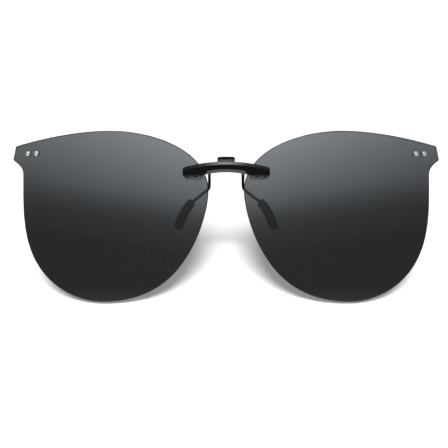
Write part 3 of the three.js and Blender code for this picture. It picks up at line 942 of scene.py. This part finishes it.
class Nodes:
    """A node tree, and short ways to build and join its nodes."""

    def __init__(self, tree, coordinates):
        self.nodes = tree.nodes
        self.links = tree.links
        self.place = self.node("ShaderNodeTexCoord").outputs[coordinates]

    def node(self, kind, inputs=None, **settings):
        made = self.nodes.new(kind)
        for key, value in settings.items():
            setattr(made, key, value)
        for key, value in (inputs or {}).items():
            self.join(value, made.inputs[key])
        return made

    def join(self, value, socket):
        """Links another node's output to a socket, or sets a plain value on it."""
        if isinstance(value, bpy.types.NodeSocket):
            self.links.new(value, socket)
        else:
            socket.default_value = value

    def math(self, operation, a, b=0.0):
        return self.node("ShaderNodeMath", {0: a, 1: b}, operation=operation).outputs[0]

    def axes(self):
        return self.node("ShaderNodeSeparateXYZ", {"Vector": self.place}).outputs

    def noise(self, scale, detail=3.0, roughness=0.5, stretch=None):
        """Noise with features about 1 / scale metres across. stretch is a scale for each axis."""
        place = self.place
        if stretch:
            place = self.node("ShaderNodeMapping", {"Vector": place, "Scale": stretch}).outputs[0]
        inputs = {"Vector": place, "Scale": scale, "Detail": detail, "Roughness": roughness}
        return self.node("ShaderNodeTexNoise", inputs).outputs["Fac"]

    def ranged(self, value, low, high, to_low, to_high):
        inputs = {"Value": value, "From Min": low, "From Max": high, "To Min": to_low, "To Max": to_high}
        return self.node("ShaderNodeMapRange", inputs).outputs[0]

    def mixed(self, share, first, second):
        """A mix of two colours, each a node's output or plain red, green and blue."""
        made = self.node("ShaderNodeMix", {"Factor": share}, data_type="RGBA")
        for socket, value in ((made.inputs[6], first), (made.inputs[7], second)):
            self.join((*value, 1) if isinstance(value, tuple) else value, socket)
        return made.outputs[2]

    def ramp(self, share, stops):
        """A colour ramp through (share, colour) stops."""
        made = self.node("ShaderNodeValToRGB", {"Fac": share})
        elements = made.color_ramp.elements
        while len(elements) < len(stops):
            elements.new(0.5)
        for element, (at, colour) in zip(elements, stops):
            element.position = at
            element.color = (*colour, 1)
        return made.outputs["Color"]


class Look(Nodes):
    """A material with one Principled shader."""

    def __init__(self, name, **values):
        self.material = bpy.data.materials.new(name)
        self.material.use_nodes = True
        super().__init__(self.material.node_tree, "Object")
        self.shader = self.nodes["Principled BSDF"]
        for key, value in values.items():
            self.shader.inputs[key.replace("_", " ")].default_value = value

    def feed(self, name, socket):
        self.links.new(socket, self.shader.inputs[name])

    def bump(self, height, distance, strength=1.0):
        inputs = {"Height": height, "Distance": distance, "Strength": strength}
        self.feed("Normal", self.node("ShaderNodeBump", inputs).outputs[0])


# (share of the way up, grey, how blue): blue-grey in the fade, and nearer to neutral above and below it. This
# is the lens's own smoke-grey tint with painted shade on it: light grey at the top, falling to near black at
# the bottom
TINT_AND_SHADE_STOPS = (
    (0.0, 0.0045, 0.03), (0.28, 0.0075, 0.04), (0.44, 0.022, 0.08), (0.50, 0.037, 0.10),
    (0.56, 0.067, 0.11), (0.62, 0.104, 0.11), (0.70, 0.140, 0.10), (1.0, 0.262, 0.05),
)


def lens_tint():
    """Smoke-grey tint in clear polished plastic, with painted shade that darkens it downward along a sloping
    boundary and toward the temple.
    """
    look = Look("lens_tint", Roughness=0.015, IOR=1.5, Transmission_Weight=0.94, Coat_Weight=1.0,
                Coat_Roughness=0.02)
    axes = look.axes()
    across = look.math("ABSOLUTE", axes["X"])
    drift = look.math("MULTIPLY", look.noise(14, 1.0), 0.0012)
    height = look.math("ADD", axes["Z"], drift)
    # The painted shade's boundary sits higher at the temple than at the nose
    height = look.math("SUBTRACT", height, look.ranged(across, 0.006, 0.066, -0.0050, 0.0035))
    stops = [(at, (grey * (1 - blue), grey, grey * (1 + 0.7 * blue))) for at, grey, blue in TINT_AND_SHADE_STOPS]
    tint = look.ramp(look.ranged(height, -0.040, 0.016, 0, 1), stops)
    # Painted shade: the lens darkens toward the temple
    temple_painted_shade = look.ranged(across, 0.014, 0.066, 1.0, 0.62)
    painted_shade_dimmed = look.node("ShaderNodeVectorMath", {0: tint, "Scale": temple_painted_shade}, operation="SCALE")
    look.feed("Base Color", painted_shade_dimmed.outputs[0])
    look.bump(look.noise(60, 2.0), 0.00002, 0.25)
    return look.material


def lens_edge():
    """The polished edge of the tinted plastic, which looks dark because it is seen along the tint."""
    look = Look("lens_edge", Roughness=0.16, IOR=1.25)
    streaks = look.noise(900, 3.0, 0.6, (1.0, 6.0, 1.0))
    look.feed("Base Color", look.mixed(streaks, (0.012, 0.013, 0.014), (0.030, 0.031, 0.033)))
    look.feed("Roughness", look.ranged(streaks, 0.3, 0.7, 0.12, 0.26))
    look.bump(streaks, 0.00001, 0.4)
    return look.material


def black_plastic():
    """Moulded black plastic with a fine satin grain and faint flow marks."""
    look = Look("black_plastic", IOR=1.38)
    flow = look.noise(260, 4.0, 0.55, (0.35, 1.0, 1.0))
    grain = look.noise(7000, 2.0)
    look.feed("Base Color", look.mixed(flow, (0.0022, 0.0023, 0.0024), (0.0060, 0.0062, 0.0064)))
    even = look.ranged(flow, 0.3, 0.7, 0.22, 0.30)
    look.feed("Roughness", look.math("ADD", even, look.ranged(grain, 0.3, 0.7, -0.03, 0.03)))
    look.bump(look.math("ADD", grain, look.math("MULTIPLY", flow, 0.6)), 0.000006, 0.55)
    return look.material


def black_wire():
    """Spring wire with a black plated finish, drawn lengthwise."""
    look = Look("black_wire", IOR=1.22)
    drawn = look.noise(2600, 3.0, 0.6, (1.0, 1.0, 0.12))
    look.feed("Base Color", look.mixed(drawn, (0.004, 0.004, 0.0045), (0.012, 0.012, 0.013)))
    look.feed("Roughness", look.ranged(drawn, 0.3, 0.7, 0.24, 0.40))
    look.bump(drawn, 0.000006, 0.4)
    return look.material


def sleeve_rubber():
    """Soft black rubber, slightly green-grey, with a fine matt grain and faint dusty patches."""
    look = Look("sleeve_rubber", IOR=1.45, Sheen_Weight=0.12, Sheen_Roughness=0.5)
    patches = look.noise(420, 5.0, 0.6)
    grain = look.noise(9000, 3.0)
    look.feed("Base Color", look.mixed(patches, (0.0075, 0.0088, 0.0084), (0.0165, 0.0182, 0.0175)))
    look.feed("Roughness", look.ranged(patches, 0.3, 0.7, 0.58, 0.76))
    look.bump(look.math("ADD", grain, patches), 0.000012, 0.5)
    return look.material


MARKS_PER_METRE = 9000


def turned_metal(name, colour, roughness, about="Y"):
    """Metal with fine concentric turning marks about its own axis, and a few scratches."""
    look = Look(name, Metallic=1.0, IOR=1.5)
    axes = look.axes()
    squares = [look.math("MULTIPLY", axes[a], axes[a]) for a in "XYZ" if a != about]
    radius = look.math("SQRT", look.math("ADD", *squares))
    marks = look.math("SINE", look.math("MULTIPLY", radius, MARKS_PER_METRE * 2 * math.pi))
    scratches = look.noise(2400, 5.0, 0.7, (1.0, 0.3, 4.0))
    tone = look.ranged(scratches, 0.35, 0.65, 0, 1)
    darker = tuple(c * 0.8 for c in colour)
    look.feed("Base Color", look.mixed(tone, darker, colour))
    look.feed("Roughness", look.ranged(scratches, 0.3, 0.7, roughness * 0.75, roughness * 1.35))
    look.bump(look.math("ADD", look.math("MULTIPLY", marks, 0.25), scratches), 0.000004, 0.5)
    return look.material


def spring_steel():
    """Bright drawn spring wire with faint lengthwise lines and slightly brown patches."""
    look = Look("spring_steel", Metallic=1.0, IOR=1.5)
    lines = look.noise(5200, 3.0, 0.6, (1.0, 0.4, 0.4))
    stain = look.noise(700, 3.0)
    clean = look.mixed(lines, (0.42, 0.42, 0.43), (0.62, 0.62, 0.63))
    look.feed("Base Color", look.mixed(look.ranged(stain, 0.5, 0.72, 0, 0.5), clean, (0.30, 0.25, 0.20)))
    look.feed("Roughness", look.ranged(lines, 0.3, 0.7, 0.22, 0.38))
    look.bump(lines, 0.000005, 0.4)
    return look.material


def smoke_nylon():
    """Smoke-grey nylon that lets part of the light through."""
    look = Look("smoke_nylon", IOR=1.3, Transmission_Weight=0.9)
    cloud = look.noise(1300, 4.0)
    look.feed("Base Color", look.mixed(cloud, (0.46, 0.47, 0.48), (0.58, 0.59, 0.60)))
    look.feed("Roughness", look.ranged(cloud, 0.3, 0.7, 0.24, 0.36))
    look.bump(look.noise(6000, 2.0), 0.000006, 0.3)
    return look.material


# ---- the object ----

def place_on_lenses(name, make, material, places):
    """One piece of hardware at each place on each lens, numbered from the nose outward."""
    for word, side in SIDES:
        for number, place in enumerate(places, 1):
            made = make()
            seat = on_lens(place, side)
            seat.translation *= MM
            made.matrix_world = seat
            finished(made, f"{name}_{word}_{number}", "root", [material])


def build():
    tint, edge, plastic = lens_tint(), lens_edge(), black_plastic()
    wire, rubber, nylon = black_wire(), sleeve_rubber(), smoke_nylon()
    silver = turned_metal("silver_metal", (0.62, 0.63, 0.64), 0.42)
    screw = turned_metal("screw_steel", (0.62, 0.62, 0.63), 0.30)
    pin = turned_metal("pin_steel", (0.60, 0.60, 0.61), 0.28, about="X")
    finished(bridge_bar(), "bridge_bar", "root", [plastic])
    finished(clamp_lever(), "clamp_lever", "lever", [plastic])
    finished(hinge_pin(), "hinge_pin", "root", [pin])
    spring = finished(torsion_spring(), "torsion_spring", None, [spring_steel()])
    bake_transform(spring)
    for word, side in SIDES:
        made = finished(lens(side), f"lens_{word}", "root", [tint, edge], weighted=False)
        true_lens_normals(made, side)
        finished(wire_arm(side), f"wire_arm_{word}", "lever", [wire])
        finished(rubber_sleeve(side), f"rubber_sleeve_{word}", "lever", [rubber])
        finished(backing_plate(side), f"backing_plate_{word}", "root", [nylon])
    place_on_lenses("temple_rivet", temple_rivet, silver, RIVET_PLACES)
    place_on_lenses("rivet_cap", rivet_cap, silver, RIVET_PLACES)
    place_on_lenses("lens_screw", lens_screw, screw, SCREW_PLACES)


# ---- floor, light and camera, in metres ----

# How far the floor passes under the lenses, how steeply it rises, and where it starts and ends
FLOOR_DROP = 0.0017
FLOOR_SLOPE = math.tan(math.radians(11))
FLOOR_FRONT = -0.006
FLOOR_BACK = 0.75
FLOOR_HALF = 0.6


def studio_floor(base):
    """A pale floor that rises gently behind the object, so that the soft shadow on it shows."""
    bm = bmesh.new()
    corners = []
    for side, y in ((-1, FLOOR_FRONT), (1, FLOOR_FRONT), (1, FLOOR_BACK), (-1, FLOOR_BACK)):
        corners.append(bm.verts.new((side * FLOOR_HALF, y, base + FLOOR_SLOPE * y)))
    bm.faces.new(corners)
    floor = object_of(bm, "studio_floor")
    look = Look("floor_paper", Roughness=0.9, Emission_Strength=0.135)
    look.shader.inputs["Emission Color"].default_value = (1, 1, 1, 1)
    look.shader.inputs["Specular IOR Level"].default_value = 0.1
    look.feed("Base Color", look.mixed(look.noise(30, 2.0), (0.34, 0.34, 0.34), (0.36, 0.36, 0.36)))
    floor.data.materials.append(look.material)
    floor.visible_glossy = False
    floor.visible_transmission = False
    return floor


# (share of the way up, brightness) of the dim room
ROOM_STOPS = ((0.0, 2.2), (0.15, 1.1), (0.33, 0.23), (0.5, 0.21), (0.67, 0.19), (0.85, 0.20), (1.0, 0.24))


def studio_world():
    """White behind everything that is seen directly or through the lenses, and a dim room with a bright
    table that lights the object and shows in its gloss. The room is twice as bright behind the object."""
    world = bpy.data.worlds.new("studio")
    scene.world = world
    world.use_nodes = True
    tree = Nodes(world.node_tree, "Generated")
    white = tree.node("ShaderNodeBackground", {"Color": (1, 1, 1, 1), "Strength": 1.05})
    axes = tree.axes()
    stops = [(at, (grey, grey, grey)) for at, grey in ROOM_STOPS]
    room = tree.nodes["Background"]
    tree.join(tree.ramp(tree.ranged(axes["Z"], -1, 1, 0, 1), stops), room.inputs["Color"])
    tree.join(tree.ranged(axes["Y"], -1, 1, 1, 2), room.inputs["Strength"])
    ray = tree.node("ShaderNodeLightPath").outputs
    seen = tree.math("MAXIMUM", ray["Is Camera Ray"], ray["Is Transmission Ray"])
    mix = tree.node("ShaderNodeMixShader", {0: seen, 1: room.outputs[0], 2: white.outputs[0]})
    tree.join(mix.outputs[0], tree.nodes["World Output"].inputs["Surface"])


def lamp(name, kind, place, aim, energy):
    data = bpy.data.lights.new(name, kind)
    data.energy = energy
    made = bpy.data.objects.new(name, data)
    scene.collection.objects.link(made)
    made.location = place
    made.rotation_euler = (Vector(aim) - Vector(place)).to_track_quat("-Z", "Y").to_euler()
    made.visible_camera = False
    return made


def studio_lamps(floor):
    """A softbox overhead and one up in front for the object, and a low sun that only lights the floor."""
    middle = (0, 0, -0.01)
    overhead = lamp("overhead", "AREA", (0, 0.03, 0.42), middle, 0.29)
    overhead.data.shape = "RECTANGLE"
    overhead.data.size = 0.07
    overhead.data.size_y = 0.10
    front = lamp("front", "AREA", (-0.10, -0.42, 0.38), middle, 3.2)
    front.data.size = 0.22
    low = lamp("floor_sun", "SUN", (0, -1.0, 0.175), (0, 0, 0), 24)
    low.data.angle = math.radians(9)
    low.visible_glossy = False
    black_pieces = [bpy.data.objects[node + "_shown"] for node in ("bridge_bar", "clamp_lever")]
    for light, state, things in ((low, "INCLUDE", [floor]), (front, "EXCLUDE", [floor, *black_pieces])):
        receivers = bpy.data.collections.new(f"{light.name}_receivers")
        for i, thing in enumerate(things):
            receivers.objects.link(thing)
            receivers.collection_objects[i].light_linking.link_state = state
        light.light_linking.receiver_collection = receivers


def studio_camera():
    """The photograph's view: straight on, with the frame's middle a little low and to the right."""
    data = bpy.data.cameras.new("camera")
    data.lens = 170
    data.sensor_width = 36
    data.clip_start = 0.01
    camera = bpy.data.objects.new("camera", data)
    scene.collection.objects.link(camera)
    frame_width = 0.15232
    distance = data.lens / data.sensor_width * frame_width
    camera.location = (-0.00075, 0.0005 - distance, -0.01848)
    camera.rotation_euler = (math.radians(90), 0, 0)
    scene.camera = camera


scene.view_settings.view_transform = "Standard"
studio_camera()
build()
studio_world()
studio_lamps(studio_floor(cad_box[0].z - FLOOR_DROP))
